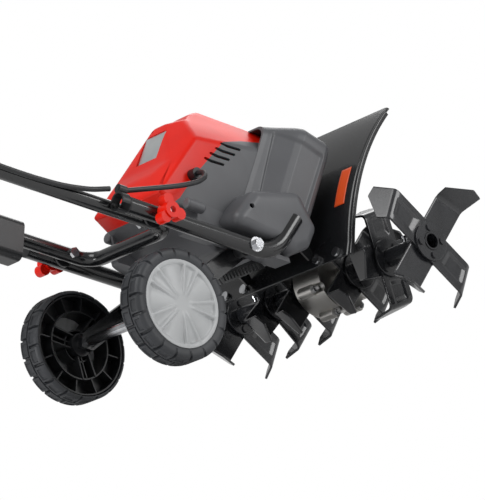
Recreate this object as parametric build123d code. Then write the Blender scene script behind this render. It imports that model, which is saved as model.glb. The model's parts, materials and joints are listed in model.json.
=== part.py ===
from build123d import *
import math
import os

# Electric garden tiller, 450 mm working width. Millimetres.
# +X forward (towards the tines), +Y to the machine's left, +Z up, ground at Z = 0.
# It is drawn with X = 0 at the wheel axle and moved at the end, so that the
# origin is the middle of the foot of the whole machine's box.

os.makedirs("parts", exist_ok=True)

# ---------------------------------------------------------------- driving dimensions
wheel_radius = 67.0
wheel_inner_y = 79.0
wheel_outer_y = 113.0
tine_axis = (346.0, 72.0)           # X, Z of the tine shaft
star_planes = (48.0, 104.0, 177.0)  # distance of each star from the middle plane
star_turns = ((37.0, 0.0, 37.0), (37.0, 31.0, 37.0))  # first arm's angle, right then left
arm_width = 39.6
sheet = 3.0
drive_slope = 40.0                  # the motor and worm point this far below forward
gear_centre = (253.0, 194.0)        # X, Z of the spur gear, on the worm's axis
worm_offset = 34.0                  # worm axis to tine axis
spur_offset = 39.0                  # motor axis to worm axis
spur_module = 1.5
pinion_teeth = 12
spur_teeth = 40
worm_module = 1.6
worm_starts = 2
worm_wheel_teeth = 30
tube_slope = 24.0                   # frame tubes and handle rise this much rearward
handle_pivot = (16.0, 174.0)        # X, Z of the lower wing bolts
bracket_pivot = (141.0, 118.3)      # X, Z of the chassis bolts, where the wheel arms swing
frame_tube_y = 97.0
frame_tube_radius = 10.0
bow_y = 75.0
bow_radius = 9.0
bow_length = 400.0
upper_slope = 55.0
upper_length = 490.0
housing_half = 64.0
wall = 3.0
guard_half = 130.0
run_gap = 0.05                      # radial clearance of running fits
cable_radius = 3.1
LEFT_AND_RIGHT = (("left", 1), ("right", -1))

tx, tz = tine_axis
gx, gz = gear_centre
slope = math.radians(drive_slope)
# Drive frame: x runs up and forward across the drive, z runs along it, down and forward.
drive = Plane(origin=(gx, 0, gz), x_dir=(math.sin(slope), 0, math.cos(slope)),
              z_dir=(math.cos(slope), 0, -math.sin(slope)))
motor_t = -spur_offset
worm_s = (tx - gx) * math.cos(slope) - (tz - gz) * math.sin(slope)


# ---------------------------------------------------------------- small helpers
def save(name, shape):
    """Move a node to the machine's origin and write it."""
    solids = shape.solids() if hasattr(shape, "solids") else shape
    moved = [solid.moved(Location(origin_shift)) for solid in solids]
    whole = moved[0] if len(moved) == 1 else group(*moved)
    export_step(whole, f"parts/{name}.step")


def rod_y(radius, y0, y1, x, z):
    """Cylinder along Y between y0 and y1."""
    place = Plane(origin=(x, min(y0, y1), z), x_dir=(1, 0, 0), z_dir=(0, 1, 0))
    return place * Cylinder(radius, abs(y1 - y0), align=(Align.CENTER, Align.CENTER, Align.MIN))


def ring_y(outer, inner, y0, y1, x, z):
    """Tube along Y."""
    return rod_y(outer, y0, y1, x, z) - rod_y(inner, min(y0, y1) - 1, max(y0, y1) + 1, x, z)


def rod_d(radius, s0, s1, t=0.0):
    """Cylinder along the drive, between s0 and s1, t across it."""
    return drive * Pos(t, 0, s0) * Cylinder(radius, s1 - s0,
                                            align=(Align.CENTER, Align.CENTER, Align.MIN))


def ring_d(outer, inner, s0, s1, t=0.0):
    """Tube along the drive."""
    return rod_d(outer, s0, s1, t) - rod_d(inner, s0 - 1, s1 + 1, t)


def box_d(s0, s1, t0, t1, half):
    """Box in the drive frame, half wide each side of the middle plane."""
    return drive * Pos((t0 + t1) / 2, 0, (s0 + s1) / 2) * Box(t1 - t0, 2 * half, s1 - s0)


def side_plate(points, y0, y1):
    """Outline of X, Z points, extruded from y0 to y1."""
    low, high = min(y0, y1), max(y0, y1)
    place = Plane(origin=(0, low, 0), x_dir=(1, 0, 0), z_dir=(0, -1, 0))
    outline = make_face(Polyline([(x, z) for x, z in points], close=True))
    return extrude(place * outline, amount=-(high - low))


def bent_tube(points, bend, outer, inner=None):
    """Round tube along straight runs joined by arcs of one radius."""
    path = FilletPolyline(points, radius=bend) if len(points) > 2 else Line(*points)
    section = Plane(origin=path @ 0, z_dir=path % 0)
    tube = sweep(section * Circle(outer), path=path)
    return tube if inner is None else tube - sweep(section * Circle(inner), path=path)


def along(point, angle, length):
    """X, Z of a point this far from another; the angle is from +X towards +Z."""
    turn = math.radians(angle)
    return (point[0] + length * math.cos(turn), point[1] + length * math.sin(turn))


def hex_bolt(head_radius, head, shank_radius, y_head, y_end, x, z):
    """Hexagon bolt along Y, its head outside y_head."""
    out = 1 if y_head > y_end else -1
    place = Plane(origin=(x, y_head, z), x_dir=(1, 0, 0), z_dir=(0, out, 0))
    top = extrude(place * RegularPolygon(head_radius, 6), amount=head)
    return top + rod_y(shank_radius, y_head, y_end, x, z)


def gear(teeth, module, width, bore, turn=0.0, land=0.34):
    """Straight gear: each tooth is a trapezoid, land of a pitch wide at the pitch circle."""
    pitch = teeth * module / 2
    step = 2 * math.pi / teeth
    points = []
    for tooth in range(teeth):
        middle = math.radians(turn) + tooth * step
        for radius, share in ((pitch - 1.25 * module, -0.62), (pitch + 0.8 * module, -0.34),
                              (pitch + 0.8 * module, 0.34), (pitch - 1.25 * module, 0.62)):
            angle = middle + share * land * step
            points.append((radius * math.cos(angle), radius * math.sin(angle)))
    outline = make_face(Polyline(points, close=True))
    return extrude(outline, amount=width) - Pos(0, 0, -1) * Cylinder(
        bore, width + 2, align=(Align.CENTER, Align.CENTER, Align.MIN))


def group(*shapes):
    """One node of several separate solids."""
    return Compound(children=[solid for shape in shapes for solid in shape.solids()])


nodes = {}

# ---------------------------------------------------------------- tines
shaft_radius = 8.75
hub_outer, hub_inner = 11.0, 8.8
case_half = 24.0
shaft_end = 150.0
hub_end = 184.0
socket_radius = 9.0
hub_split = 126.0
collar_radius = 24.0
rivet_circle = 17.0
# Where the tip is bent: radius at the trailing edge, at the leading edge, and the bend's angle.
outer_bend = (62.4, 72.2, 62.0)
near_bend = (56.0, 60.5, 80.0)         # the stars under the guard keep clear of it
tip_long, tip_short = 34.0, 22.0

nodes["tine_shaft"] = rod_y(shaft_radius, -shaft_end, shaft_end, tx, tz)


def blade(turn, y_plane, lean, bend, length):
    """One arm of a strap with its bent tip; lean is 1 for a tip towards -Y and -1 for one towards +Y."""
    trailing, leading, bend_angle = bend
    half = arm_width / 2
    arm = extrude(make_face(Polyline([(1.5, -half), (leading, -half), (trailing, half), (1.5, half)],
                                     close=True)), amount=sheet / 2, both=True)
    # The tip is drawn along the slanted bend line and away from it, then stands up about that line.
    bend_line = Vector(trailing - leading, arm_width, 0).normalized()
    outward = Vector(bend_line.Y, -bend_line.X, 0)
    bend_radians = math.radians(bend_angle)
    away = outward * math.cos(bend_radians) + Vector(0, 0, lean) * math.sin(bend_radians)
    half_line = math.hypot(leading - trailing, arm_width) / 2
    outline = [(-half_line, -1), (-half_line - 3.5, 0.88 * length), (-10, length),
               (half_line, 0.44 * length), (half_line, -1)]
    middle = Vector((trailing + leading) / 2, 0, 0)
    tip_plane = Plane(origin=middle, x_dir=bend_line, z_dir=bend_line.cross(away))
    tip = extrude(tip_plane * make_face(Polyline(outline, close=True)), amount=sheet / 2, both=True)
    # Local x runs along the arm, local z towards -Y.
    radians = math.radians(turn)
    place = Plane(origin=(tx, y_plane, tz),
                  x_dir=(math.cos(radians), 0, math.sin(radians)), z_dir=(0, -1, 0))
    return place * (arm + tip)


star_names = ("inner", "middle", "outer")
star_pieces = {name: [] for name in star_names}
rivets, hubs = [], []
for side_name, side in LEFT_AND_RIGHT:
    turns = star_turns[0] if side < 0 else star_turns[1]
    for number, (plane_y, first) in enumerate(zip(star_planes, turns), start=1):
        y_mid = side * plane_y
        straps = []
        for strap, first_arm in enumerate((first, first + 90)):
            # The first strap lies behind, its tips towards -Y; the second in front, its tips towards +Y.
            lean = -1 if strap else 1
            offset = lean * sheet / 2
            bend = outer_bend if number == 3 else near_bend
            towards_case = number == 1 and lean == side
            length = tip_short if towards_case else tip_long
            arms = [blade(first_arm + half_turn, y_mid + offset, lean, bend, length)
                    for half_turn in (0, 180)]
            bore = rod_y(hub_outer, y_mid - 8, y_mid + 8, tx, tz)
            straps.append(arms[0] + arms[1] - bore)
        spots = [along(tine_axis, first + 45 + 90 * k, rivet_circle) for k in range(4)]
        collars = []
        for face in (-1, 1):
            y_low = y_mid + face * sheet
            collar = ring_y(collar_radius, hub_outer, y_low, y_low + face * sheet, tx, tz)
            for x, z in spots:
                collar -= rod_y(2.5, y_mid - 12, y_mid + 12, x, z)
            collars.append(collar)
        for index, strap in enumerate(straps):
            for x, z in spots:
                straps[index] = straps[index] - rod_y(2.5, y_mid - 12, y_mid + 12, x, z)
        star_pieces[star_names[number - 1]] += straps + collars
        for x, z in spots:
            rivet = rod_y(2.5, y_mid - 2 * sheet, y_mid + 2 * sheet, x, z)
            for face in (-1, 1):
                start = y_mid + face * 2 * sheet
                rivet += rod_y(4.5, start, start + face * 2, x, z)
            rivets.append(rivet)
    pin_y = side * 140.0
    inner_hub = ring_y(hub_outer, hub_inner, side * 34.5, side * hub_split, tx, tz)
    outer_hub = ring_y(hub_outer, hub_inner, side * (hub_split + 0.5), side * hub_end, tx, tz)
    pin_hole = Pos(tx, pin_y, tz) * Cylinder(3.0, 40)
    socket = rod_y(socket_radius, side * shaft_end, side * (hub_end + 1), tx, tz)
    hubs += [inner_hub, outer_hub - pin_hole - socket]
    nodes["tine_shaft"] = nodes["tine_shaft"] - pin_hole
for name, pieces in star_pieces.items():
    nodes[f"tine_stars_{name}"] = group(*pieces)
nodes["tine_hubs"] = group(*hubs)
nodes["tine_rivets"] = group(*rivets)

pins, clips = [], []
for _, side in LEFT_AND_RIGHT:
    pin = Pos(tx, side * 140, tz) * Cylinder(2.95, 30)
    pin += Pos(tx, side * 140, tz + 16.5) * Cylinder(5.0, 3)
    pin -= Pos(tx, side * 140, tz - 13) * Rot(90, 0, 0) * Cylinder(1.0, 12)
    pins.append(pin.solid())
    loop = Pos(tx, side * 140, tz - 13) * Rot(90, 0, 0) * Cylinder(0.95, 14)
    loop += Pos(tx, side * 140 + 7, tz - 13) * (Torus(4.0, 0.9).rotate(Axis.X, 90)
                                               .moved(Location((0, 0, -4.0))))
    clips.append(loop.solid())
nodes["hub_pins_and_clips"] = group(*pins, *clips)

wheel_plane = Plane(origin=(tx, -6, tz), x_dir=drive.x_dir, z_dir=(0, 1, 0))
nodes["worm_wheel"] = wheel_plane * gear(worm_wheel_teeth, worm_module, 12, shaft_radius, land=0.24)

# ---------------------------------------------------------------- worm, spur gears, motor
worm_root = 8.0
lead = math.pi * worm_module * worm_starts
thread_length = 3.5 * lead
worm_start = worm_s - thread_length / 2
thread_tip = worm_root + 2.9
worm_seat, worm_bearing = 6.0, 13.0
helix = Helix(pitch=lead, height=thread_length, radius=worm_root)
section_plane = Plane(origin=helix @ 0, x_dir=(1, 0, 0), z_dir=helix % 0)
thread_outline = make_face(Polyline([(-1.0, -0.95), (2.9, -0.55), (2.9, 0.55), (-1.0, 0.95)],
                                    close=True))
thread = sweep(section_plane * thread_outline, path=helix, is_frenet=True)
worm = rod_d(worm_seat, -22, worm_start - 6) + rod_d(worm_root, worm_start - 6,
                                                     worm_start + thread_length + 6)
worm += rod_d(worm_seat, worm_start + thread_length + 6, worm_start + thread_length + 18)
for turn in (0, 180):
    worm += drive * Pos(0, 0, worm_start) * Rot(0, 0, turn) * thread
nodes["worm_shaft"] = worm
nodes["spur_gear"] = drive * Pos(0, 0, -6) * gear(spur_teeth, spur_module, 14, worm_seat)

rotor_shaft = 5.0
stator_s = (-120.0, -52.0)
nodes["motor_shaft"] = rod_d(rotor_shaft, -148, 12, motor_t)
nodes["pinion"] = drive * Pos(motor_t, 0, -8) * gear(pinion_teeth, spur_module, 18, rotor_shaft,
                                                     turn=180 / pinion_teeth)
slots = 12
armature = ring_d(25.0, rotor_shaft, -116, -56, motor_t)
for slot in range(slots):
    x, y = (21.5 * math.cos(2 * math.pi * slot / slots), 21.5 * math.sin(2 * math.pi * slot / slots))
    armature -= drive * Pos(motor_t + x, y, -86) * Cylinder(2.4, 70)
nodes["armature"] = group(armature, ring_d(13.0, rotor_shaft, -138, -122, motor_t))
fan = ring_d(9.0, rotor_shaft, -47, -33, motor_t) + ring_d(38.0, 8.0, -35, -33, motor_t)
for vane in range(9):
    fan += drive * Pos(motor_t, 0, -40) * Rot(0, 0, 40 * vane) * Pos(22, 0, 0) * Box(30, 2, 13)
nodes["cooling_fan"] = fan
nodes["motor_stator"] = ring_d(42.0, 26.0, *stator_s, motor_t)
bearings = [ring_d(worm_bearing, worm_seat + run_gap, s, s + 10) for s in (-22, 114)]
bearings.append(ring_d(worm_bearing, worm_seat + run_gap, worm_start + thread_length + 7,
                       worm_start + thread_length + 17))
bearings += [ring_d(11.0, rotor_shaft + run_gap, s, s + 8, motor_t) for s in (-147, -22)]
nodes["drive_bearings"] = Compound(children=[b.solid() for b in bearings])
brush_gap = 13.0 + run_gap
carbons, holders = [], []
for side in (-1, 1):
    carbon = drive * Pos(motor_t, side * 20, -130) * Box(7, 14, 10) - rod_d(
        brush_gap, -140, -120, motor_t)
    holder = drive * Pos(motor_t, side * 27, -130) * (Box(11, 20, 14) - Box(7, 22, 10))
    carbons.append(carbon.solid())
    holders.append(holder.solid())
nodes["brush_gear"] = group(*carbons, *holders)

# The drive plate carries the motor's and the worm shaft's rear bearings.
plate = box_d(-24, -12, -88, 34, 53) - rod_d(worm_bearing, -25, -11) - rod_d(11.0, -25, -11, motor_t)
rear_bridge = box_d(-148, -140, motor_t - 14, motor_t + 14, 52) - rod_d(11.0, -149, -139, motor_t)
for side in (-1, 1):
    rear_bridge += drive * Pos(motor_t, side * 47, -82) * Cylinder(4.0, 116)
nodes["motor_frame"] = group(plate, rear_bridge)

# ---------------------------------------------------------------- gear case
case_radius = 42.0
tunnel_radius = 18.0
case_end = worm_start + thread_length + 22
case = rod_y(case_radius, -case_half, case_half, tx, tz)
case += ring_y(15.0, 9.0, -34, 34, tx, tz)
case += rod_d(tunnel_radius, 20, case_end)
case += rod_d(36.0, 12, 20)
lug_spots = [along(tine_axis, angle, case_radius + 2) for angle in (190, 245, 300, 350)]
for x, z in lug_spots:
    case += rod_y(7.0, -12, 12, x, z)
case -= rod_y(29.0, -9, 9, tx, tz)
case -= rod_y(shaft_radius + 4, -35, 35, tx, tz)
case -= rod_d(14.0, 124, worm_start + thread_length + 7)
case -= rod_d(8.5, 11, 115)
case -= rod_d(worm_bearing, 113, 124)
case -= rod_d(worm_bearing, worm_start + thread_length + 6.5, worm_start + thread_length + 18)
for x, z in lug_spots:
    case -= rod_y(2.6, -13, 16, x, z)
    case -= rod_y(6.2, -case_half - 1, -12, x, z)
huge = 600.0
for side_name, side in LEFT_AND_RIGHT:
    keep = Pos(tx, side * huge / 2, tz) * Box(2 * huge, huge, 2 * huge)
    nodes[f"gear_case_{side_name}"] = case & keep
case_bolts = []
for x, z in lug_spots:
    case_bolts.append(hex_bolt(5.0, 4, 2.55, -12, 14, x, z).solid())
nodes["gear_case_bolts"] = group(*case_bolts)
bushes = [ring_y(shaft_radius + 4, shaft_radius + run_gap, side * 10, side * 26, tx, tz)
          for _, side in LEFT_AND_RIGHT]
seals = [ring_y(shaft_radius + 4, shaft_radius + run_gap, side * 27, side * 33, tx, tz)
         for _, side in LEFT_AND_RIGHT]
nodes["shaft_bushes_and_seals"] = group(*bushes, *seals)

# ---------------------------------------------------------------- housing and covers
belly = [(118, 101), (186, 92), (232, 112), (250, 128), (216, 168), (120, 150), (96, 122)]


def drive_outline(points):
    """Drive-frame points (s, t) as X, Z."""
    placed = [drive.from_local_coords((t, 0, s)) for s, t in points]
    return [(p.X, p.Z) for p in placed]


body_outline = drive_outline([(-156, -92), (-156, -4), (-122, 36), (-20, 62), (38, 62), (42, -62),
                              (0, -100), (-60, -140)])
cover_line = drive_outline([(-170, -72), (-158, -72), (-120, -46), (-52, 30), (-8, 54), (-8, 90),
                            (-220, 90), (-220, -72)])
inner_body = drive_outline([(-153, -89), (-153, -5.5), (-121, 33), (-20, 59), (35, 59), (39, -61),
                            (-1, -97), (-59, -136)])
outer_shell = side_plate(body_outline, -housing_half, housing_half)
outer_shell += side_plate(belly, -56, 56)
inner_shell = side_plate(inner_body, -housing_half + wall, housing_half - wall)
inner_belly = [(120, 104.5), (185, 95.5), (230, 115), (246, 129), (214, 165), (122, 147), (99, 122)]
inner_shell += side_plate(inner_belly, -56 + wall, 56 - wall)
shell = outer_shell - inner_shell
shell -= rod_d(36.4, 11, 44)
upper = side_plate(cover_line, -huge / 4, huge / 4)
window_recess = box_d(-158, -155, -47, -13, 27)
nodes["top_cover"] = (shell & upper) - window_recess
nodes["rear_window"] = box_d(-156.5, -155, -46.5, -13.5, 26.5)
lower_shell = shell - upper

# Front cover: a hollow band over the spur gears, with a lobe over each frame tube.
band_outline = drive_outline([(-50, -68), (-28, 66), (-24, 71), (28, 74), (36, 66), (43, -62)])
band_inner = drive_outline([(-46, -65), (-25, 64), (-22, 68), (26, 71), (33, 64), (40, -59)])
band_half, lobe_half = 84.0, 103.0
band = side_plate(band_outline, -band_half, band_half)
band -= side_plate(band_inner, -band_half + wall, band_half - wall)
band -= side_plate(body_outline, -housing_half, housing_half)
lobe_outline = [(118, 152), (160, 131), (190, 116), (206, 101), (232, 103), (252, 124), (240, 172),
                (170, 178)]
lobe_inner = [(124, 152), (162, 134), (192, 119), (208, 104), (231, 106), (249, 125), (237, 169),
              (171, 175)]
tube_start = along(handle_pivot, 180 - tube_slope, 45)
tube_low = along(handle_pivot, -tube_slope, 171)
tube_path = [tube_start, tube_low, (tube_low[0] + 50, tube_low[1] + 36)]
tube_bend = 45.0
frame_tubes, fat_tubes = {}, {}
for side_name, side in LEFT_AND_RIGHT:
    points = [(x, side * frame_tube_y, z) for x, z in tube_path]
    frame_tubes[side_name] = bent_tube(points, tube_bend, frame_tube_radius,
                                       frame_tube_radius - 1.5)
    fat_tubes[side_name] = bent_tube(points, tube_bend, frame_tube_radius + 1.0)
lobes = None
for side_name, side in LEFT_AND_RIGHT:
    lobe = side_plate(lobe_outline, side * housing_half, side * lobe_half)
    lobe -= side_plate(lobe_inner, side * (housing_half - 1), side * (lobe_half - wall))
    lobe -= fat_tubes[side_name]
    lobe = max(lobe.solids(), key=lambda solid: solid.volume)
    lobes = lobe if lobes is None else lobes + lobe
band_keep = side_plate(band_inner, -band_half + wall, band_half - wall)
front_cover = band + (lobes - band_keep)

# ---------------------------------------------------------------- chassis
bx, bz = bracket_pivot
px, pz = handle_pivot
cheek_y = (57.0, 60.0)
cheek_outline = [(127, 110), (250, 111), (262, 94), (269, 94), (272, 101), (258, 150), (240, 176),
                 (127, 134)]
cross = box_d(20.3, 23.3, -72, 40, cheek_y[0]) - rod_d(tunnel_radius, 19, 25)
chassis = cross
for _, side in LEFT_AND_RIGHT:
    chassis += side_plate(cheek_outline, side * cheek_y[0], side * cheek_y[1])
chassis -= rod_y(4.05, -70, 70, bx, bz)
cheek_room = None
for _, side in LEFT_AND_RIGHT:
    room = side_plate(cheek_outline, side * (cheek_y[0] - 0.5), side * (cheek_y[1] + 0.5))
    cheek_room = room if cheek_room is None else cheek_room + room
nodes["chassis_frame"] = chassis
bolt_room = rod_y(5.0, -120, 120, bx, bz)
grille_outline = [(112, 98), (180, 109), (190, 96), (118, 86)]
grille_plate = side_plate(grille_outline, -59.0, -56.0)
for slat in range(12):
    at, low = 119 + 5.3 * slat, 89.5 + 0.53 * slat
    grille_plate -= side_plate([(at, low + 8), (at + 3, low + 8.3), (at + 5, low + 0.3), (at + 2, low)],
                               -60, -55)
nodes["intake_grille"] = grille_plate
air_way = side_plate([(118, 98), (176, 106), (184, 98), (124, 90)], -57, -50)
lower_shell = lower_shell - cheek_room - bolt_room - air_way
front_cover -= cheek_room + bolt_room
nodes["front_cover"] = max(front_cover.solids(), key=lambda solid: solid.volume)
lower_shell = lower_shell - side_plate(grille_outline, -59.1, -55.9)
for louvre in range(4):
    t0 = 22 - 13 * louvre
    lower_shell -= side_plate(drive_outline([(-78, t0), (-72, t0 - 4), (-40, t0 - 1), (-44, t0 + 3)]),
                              -housing_half - 1, -housing_half + 4)
nodes["motor_housing"] = max(lower_shell.solids(), key=lambda solid: solid.volume)

frame_caps, finished_tubes = [], []
for side_name, side in LEFT_AND_RIGHT:
    tube = frame_tubes[side_name]
    y = side * frame_tube_y
    tube -= rod_y(4.0, y - 12, y + 12, px, pz)
    tube -= rod_y(4.0, y - 12, y + 12, bx, bz)
    finished_tubes.append(tube)
    end = along(handle_pivot, 180 - tube_slope, 45)
    back = (-math.cos(math.radians(tube_slope)), 0, math.sin(math.radians(tube_slope)))
    cap_plane = Plane(origin=(end[0], y, end[1]), z_dir=back)
    cap = cap_plane * Pos(0, 0, 1.2) * Cylinder(frame_tube_radius, 2.4)
    cap += cap_plane * Pos(0, 0, -4) * Cylinder(frame_tube_radius - 1.6, 8)
    frame_caps.append(cap.solid())
nodes["frame_tubes"] = group(*finished_tubes)
nodes["tube_end_caps"] = group(*frame_caps)

chassis_bolts, arm_spacers = [], []
for _, side in LEFT_AND_RIGHT:
    bolt = hex_bolt(6.5, 5.5, 4.0, side * (frame_tube_y + frame_tube_radius + 1.6), side * 57, bx, bz)
    bolt += rod_y(9.0, side * (frame_tube_y + frame_tube_radius), side * (
        frame_tube_y + frame_tube_radius + 1.6), bx, bz)
    chassis_bolts.append(bolt.solid())
    arm_spacers.append(ring_y(8.0, 4.0, side * 74.1, side * 87.0, bx, bz).solid())

# ---------------------------------------------------------------- wheel bracket and wheels
axle_radius = 6.0
arm_y = (66.0, 74.0)
axle = (0.0, wheel_radius)
arm_angle = math.degrees(math.atan2(bz - axle[1], bx - axle[0]))
bracket = None
for _, side in LEFT_AND_RIGHT:
    corners = []
    for point, lean in ((axle, 90), (axle, 180), (axle, 270)):
        corners.append(along(point, arm_angle + lean, 12))
    for lean in (-90, 0, 90):
        corners.append(along(bracket_pivot, arm_angle + lean, 11))
    arm = side_plate(corners, side * arm_y[0], side * arm_y[1])
    pocket = [along(axle, arm_angle + 90, 9), along(axle, arm_angle - 90, 9),
              along(bracket_pivot, arm_angle - 90, 8), along(bracket_pivot, arm_angle + 90, 8)]
    arm -= side_plate(pocket, side * (arm_y[0] - 1), side * (arm_y[1] - 2.5))
    arm -= rod_y(4.05, side * 60, side * 80, bx, bz)
    arm -= rod_y(axle_radius, side * 60, side * 80, *axle)
    bracket = arm if bracket is None else bracket + arm
mid_arm = along(axle, arm_angle, 74)
bracket += rod_y(7.0, -arm_y[1] + 1.5, arm_y[1] - 1.5, *mid_arm)
nodes["wheel_bracket"] = bracket
axle_clips = [ring_y(9.0, axle_radius, side * 105.6, side * 107, *axle)
              for _, side in LEFT_AND_RIGHT]
nodes["axle_and_clips"] = group(rod_y(axle_radius, -108, 108, *axle), *axle_clips)

tyre_inner, tread_root = 52.0, 62.0
for side_name, side in LEFT_AND_RIGHT:
    y_in, y_out = side * wheel_inner_y, side * wheel_outer_y
    rim = ring_y(tyre_inner, tyre_inner - 4, y_in + side * 2, side * 108, *axle)
    rim += ring_y(tyre_inner - 3, 12.0, side * 95, side * 98, *axle)
    rim += ring_y(14.0, axle_radius + run_gap, y_in, side * 105, *axle)
    for spoke in range(6):
        foot = along(axle, 60 * spoke, 30)
        rim -= rod_y(9.0, side * 90, side * 100, *foot)
    nodes[f"wheel_rim_{side_name}"] = rim
    tyre = ring_y(tread_root, tyre_inner, y_in, y_out, *axle)
    lugs = 18
    for lug in range(lugs):
        for row, half_step in ((0, 0.0), (1, 0.5)):
            angle = 360 / lugs * (lug + half_step)
            low = y_in if row == 0 else y_in + side * 20
            middle = along(axle, angle, (tread_root + wheel_radius) / 2 - 0.4)
            block = Pos(middle[0], low + side * 7, middle[1]) * Rot(0, -angle, 0) * Box(
                wheel_radius - tread_root + 0.6, 14, 15)
            tyre += block
    nodes[f"tyre_{side_name}"] = tyre & rod_y(wheel_radius, y_in, y_out, *axle)
    hubcap = rod_y(tyre_inner, side * 109, side * 112, *axle) - rod_y(15.0, side * 108, side * 110.5, *axle)
    hubcap += rod_y(11.0, side * 111, side * 113, *axle)
    nodes[f"hubcap_{side_name}"] = hubcap

# ---------------------------------------------------------------- guard
guard_line = [(263, 84), (271, 98), (290, 137), (309, 167), (334, 200), (365, 226), (401, 252)]
guard_sheet, lip = 2.5, 4.0


def shifted(points, distance):
    """The same line moved sideways, to the tine side, by this distance."""
    moved = []
    for index, (x, z) in enumerate(points):
        before = points[max(index - 1, 0)]
        after = points[min(index + 1, len(points) - 1)]
        dx, dz = after[0] - before[0], after[1] - before[1]
        length = math.hypot(dx, dz)
        moved.append((x + distance * dz / length, z - distance * dx / length))
    return moved


guard = side_plate(guard_line + shifted(guard_line, guard_sheet)[::-1], -guard_half, guard_half)
for side in (-1, 1):
    guard += side_plate(guard_line + shifted(guard_line, guard_sheet + lip)[::-1],
                        side * (guard_half - 2.5), side * guard_half)
guard -= rod_d(tunnel_radius + 3, 50, 110)
guard_bolt_y = (-104, -69, 69, 104)
(low_x, low_z), (fold_x, fold_z) = guard_line[:2]
out = Plane(origin=((low_x + fold_x) / 2, 0, (low_z + fold_z) / 2), x_dir=(0, 1, 0),
            z_dir=(low_z - fold_z, 0, fold_x - low_x))
guard_bolts = []
for y in guard_bolt_y:
    guard -= out * Pos(y, 0, -5) * Cylinder(3.0, 12)
    bolt = out * Pos(y, 0, -1.5) * Cylinder(2.95, 5)
    bolt += out * Pos(y, 0, 2.2) * Cylinder(6.0, 3.6)
    guard_bolts.append(bolt.solid())
nodes["guard"] = guard
nodes["guard_bolts"] = group(*guard_bolts)

# ---------------------------------------------------------------- lower handle
tube_dir = (-math.cos(math.radians(tube_slope)), math.sin(math.radians(tube_slope)))
bar = along(handle_pivot, -tube_slope, 34)
bow_top = along(handle_pivot, 180 - tube_slope, bow_length + 14)
joint = along(handle_pivot, 180 - tube_slope, bow_length)
jx, jz = joint
bow = bent_tube([(bow_top[0], bow_y, bow_top[1]), (bar[0], bow_y, bar[1]), (bar[0], -bow_y, bar[1]),
                 (bow_top[0], -bow_y, bow_top[1])], 24.0, bow_radius, bow_radius - 1.5)
for _, side in LEFT_AND_RIGHT:
    bow -= rod_y(4.0 + run_gap, side * 60, side * 90, px, pz)
    bow -= rod_y(4.0, side * 60, side * 90, jx, jz)
nodes["lower_handle_bow"] = bow
washer = (bow_y + bow_radius, frame_tube_y - frame_tube_radius)
pivot_bolts, joint_bolts, washers = [], [], []
for _, side in LEFT_AND_RIGHT:
    pivot_bolts.append(hex_bolt(6.5, 4.5, 4.0, side * (bow_y - bow_radius - 0.1), side * 120,
                                px, pz).solid())
    joint_bolts.append(hex_bolt(6.5, 4.5, 4.0, side * (bow_y - bow_radius), side * 118,
                                jx, jz).solid())
    washers.append(ring_y(12.0, 4.0, side * (washer[0] + 0.1), side * washer[1], px, pz).solid())
nodes["frame_bolts"] = group(*chassis_bolts, *pivot_bolts)
nodes["joint_bolts"] = group(*joint_bolts)
nodes["spacers"] = group(*arm_spacers, *washers)


def wing_knob(y_in, side, x, z, turn):
    """Three-lobed wing knob on a bolt along Y."""
    knob = rod_y(10.0, y_in, y_in + side * 17, x, z)
    for lobe in range(3):
        spot = along((x, z), turn + 120 * lobe, 13)
        knob += rod_y(7.0, y_in + side * 3, y_in + side * 15, *spot)
    return knob - rod_y(4.0 + run_gap, y_in - side, y_in + side * 18, x, z)


upper_y = washer[1] + bow_radius
for side_name, side in LEFT_AND_RIGHT:
    low_y = side * (frame_tube_y + frame_tube_radius + 0.2)
    high_y = side * (upper_y + bow_radius + 0.2)
    nodes[f"lower_knob_{side_name}"] = wing_knob(low_y, side, px, pz, 90)
    nodes[f"upper_knob_{side_name}"] = wing_knob(high_y, side, jx, jz, 90)

inlet_at = along(handle_pivot, 180 - tube_slope, 128)
leg_plane = Plane(origin=(inlet_at[0], bow_y, inlet_at[1]), x_dir=(0, 1, 0),
                  z_dir=(tube_dir[0], 0, tube_dir[1]))
inlet = leg_plane * Pos(0, 8, 0) * Box(36, 50, 100)
inlet = fillet(inlet.edges().filter_by(Axis((0, 0, 0), (tube_dir[0], 0, tube_dir[1]))), 9)
inlet -= leg_plane * Cylinder(bow_radius, 102)
inlet -= leg_plane * Pos(0, 21, -46) * Box(26, 14, 20)
nodes["inlet_housing"] = inlet
pins = []
for step in (-7, 7):
    pins.append((leg_plane * Pos(step, 21, -43) * Cylinder(2.4, 22)).solid())
nodes["inlet_pins"] = group(*pins)

# ---------------------------------------------------------------- upper handle
rise = (-math.cos(math.radians(upper_slope)), math.sin(math.radians(upper_slope)))


def up_leg(distance, y):
    """Point this far up the upper handle from its joint, y from the middle."""
    return (jx + rise[0] * distance, y, jz + rise[1] * distance)


grip_half = 178.0
right_run = [up_leg(-14, -upper_y), up_leg(90, -upper_y), up_leg(300, -grip_half),
             up_leg(upper_length, -grip_half)]
left_run = [(x, -y, z) for x, y, z in right_run][::-1]
upper = bent_tube(right_run + left_run, 48.0, bow_radius, bow_radius - 1.5)
for _, side in LEFT_AND_RIGHT:
    upper -= rod_y(4.0 + run_gap, side * 84, side * 110, jx, jz)
nodes["upper_handle_tube"] = upper
cx, _, cz = up_leg(upper_length, 0)
box_half = 42.0
grip_end = 126.0
nodes["foam_grips"] = Compound(children=[
    ring_y(15.0, bow_radius, side * (box_half + 6), side * grip_end, cx, cz).solid()
    for _, side in LEFT_AND_RIGHT])
head_plane = Plane(origin=(cx, 0, cz), x_dir=(0, 1, 0), z_dir=(rise[0], 0, rise[1]))
switch_box = head_plane * Pos(0, 6, -6) * Box(2 * box_half, 56, 62)
switch_box = fillet(switch_box.edges().filter_by(Axis.Y), 8)
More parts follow.
